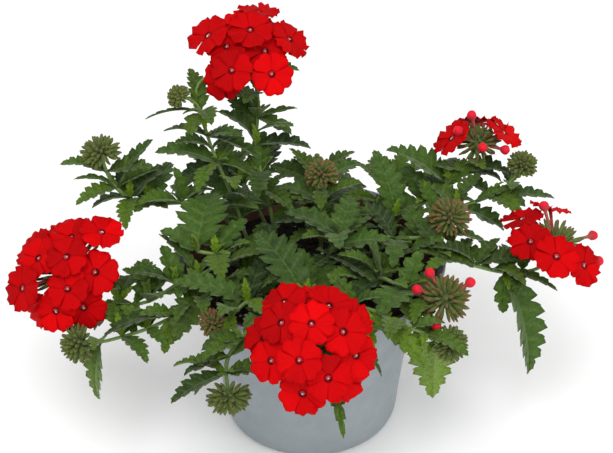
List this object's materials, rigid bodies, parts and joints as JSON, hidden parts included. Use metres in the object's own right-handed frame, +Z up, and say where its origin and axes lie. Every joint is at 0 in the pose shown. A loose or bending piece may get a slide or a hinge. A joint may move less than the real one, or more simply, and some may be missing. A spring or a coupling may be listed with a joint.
{
  "type": "potted red verbena",
  "caption": "Bushy red trailing verbena with toothed leaves and domed flower heads, in a brown nursery pot standing inside a grey flared cover pot.",
  "frame": {"origin": "middle of the cover pot's underside, where it rests on the floor", "axes": "+Z up out of the pot, -Y towards the plant's front, +X to the right as seen from the front"},
  "size_m": [0.2794, 0.2102, 0.1912],
  "materials": {
    "grey_cover_pot": "matte blue-grey moulded plastic",
    "brown_nursery_pot": "satin red-brown thin plastic",
    "dark_potting_soil": null,
    "green_leaf": null,
    "red_petal": null,
    "olive_calyx": null
  },
  "bodies": {
    "root": {"cover_pot": "grey_cover_pot", "nursery_pot": "brown_nursery_pot", "potting_soil": "dark_potting_soil", "shoot_top": "green_leaf", "shoot_top_left": "green_leaf", "shoot_left": "green_leaf", "shoot_left_low": "green_leaf", "shoot_left_front": "green_leaf", "shoot_left_mid": "green_leaf", "shoot_front_left": "green_leaf", "shoot_front": "green_leaf", "shoot_centre": "green_leaf", "shoot_back": "green_leaf", "shoot_left_fan": "green_leaf", "shoot_right_front": "green_leaf", "shoot_front_right": "green_leaf", "shoot_right": "green_leaf", "shoot_right_back": "green_leaf", "shoot_right_up": "green_leaf", "shoot_far_right": "green_leaf", "shoot_back_left": "green_leaf", "shoot_back_mid": "green_leaf", "shoot_back_right": "green_leaf", "bloom_top_left": "red_petal", "bloom_left": "red_petal", "bloom_front": "red_petal", "bloom_upper_right": "red_petal", "bloom_right": "red_petal", "buds_left": "olive_calyx", "buds_top_left": "olive_calyx", "buds_back": "olive_calyx", "buds_upper": "olive_calyx", "buds_right": "olive_calyx", "buds_far_right": "olive_calyx", "buds_front_right": "olive_calyx", "buds_front_left": "olive_calyx", "buds_low_left": "olive_calyx", "buds_mid_left": "olive_calyx"}
  },
  "joints": []
}
